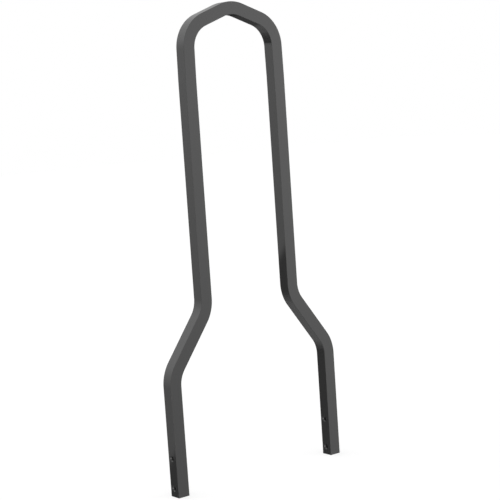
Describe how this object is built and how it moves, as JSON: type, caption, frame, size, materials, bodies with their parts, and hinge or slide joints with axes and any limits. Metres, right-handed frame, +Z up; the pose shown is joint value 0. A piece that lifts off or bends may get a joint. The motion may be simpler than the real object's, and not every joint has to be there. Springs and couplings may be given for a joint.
{
  "type": "sissy bar",
  "caption": "Sissy bar for a motorcycle: a solid square steel bar bent into a tall gabled hoop, with legs that step outward to cross-drilled feet for the fender struts.",
  "frame": {"origin": "on the level of the feet's cut ends, midway between the legs", "axes": "+Z up along the legs, X across the motorcycle from leg to leg, Y fore and aft through the bar's depth"},
  "size_m": [0.2672, 0.0162, 0.606],
  "materials": {
    "black_coat": "gloss black powder coat over solid steel"
  },
  "bodies": {
    "root": {"sissy_bar": "black_coat"}
  },
  "joints": []
}
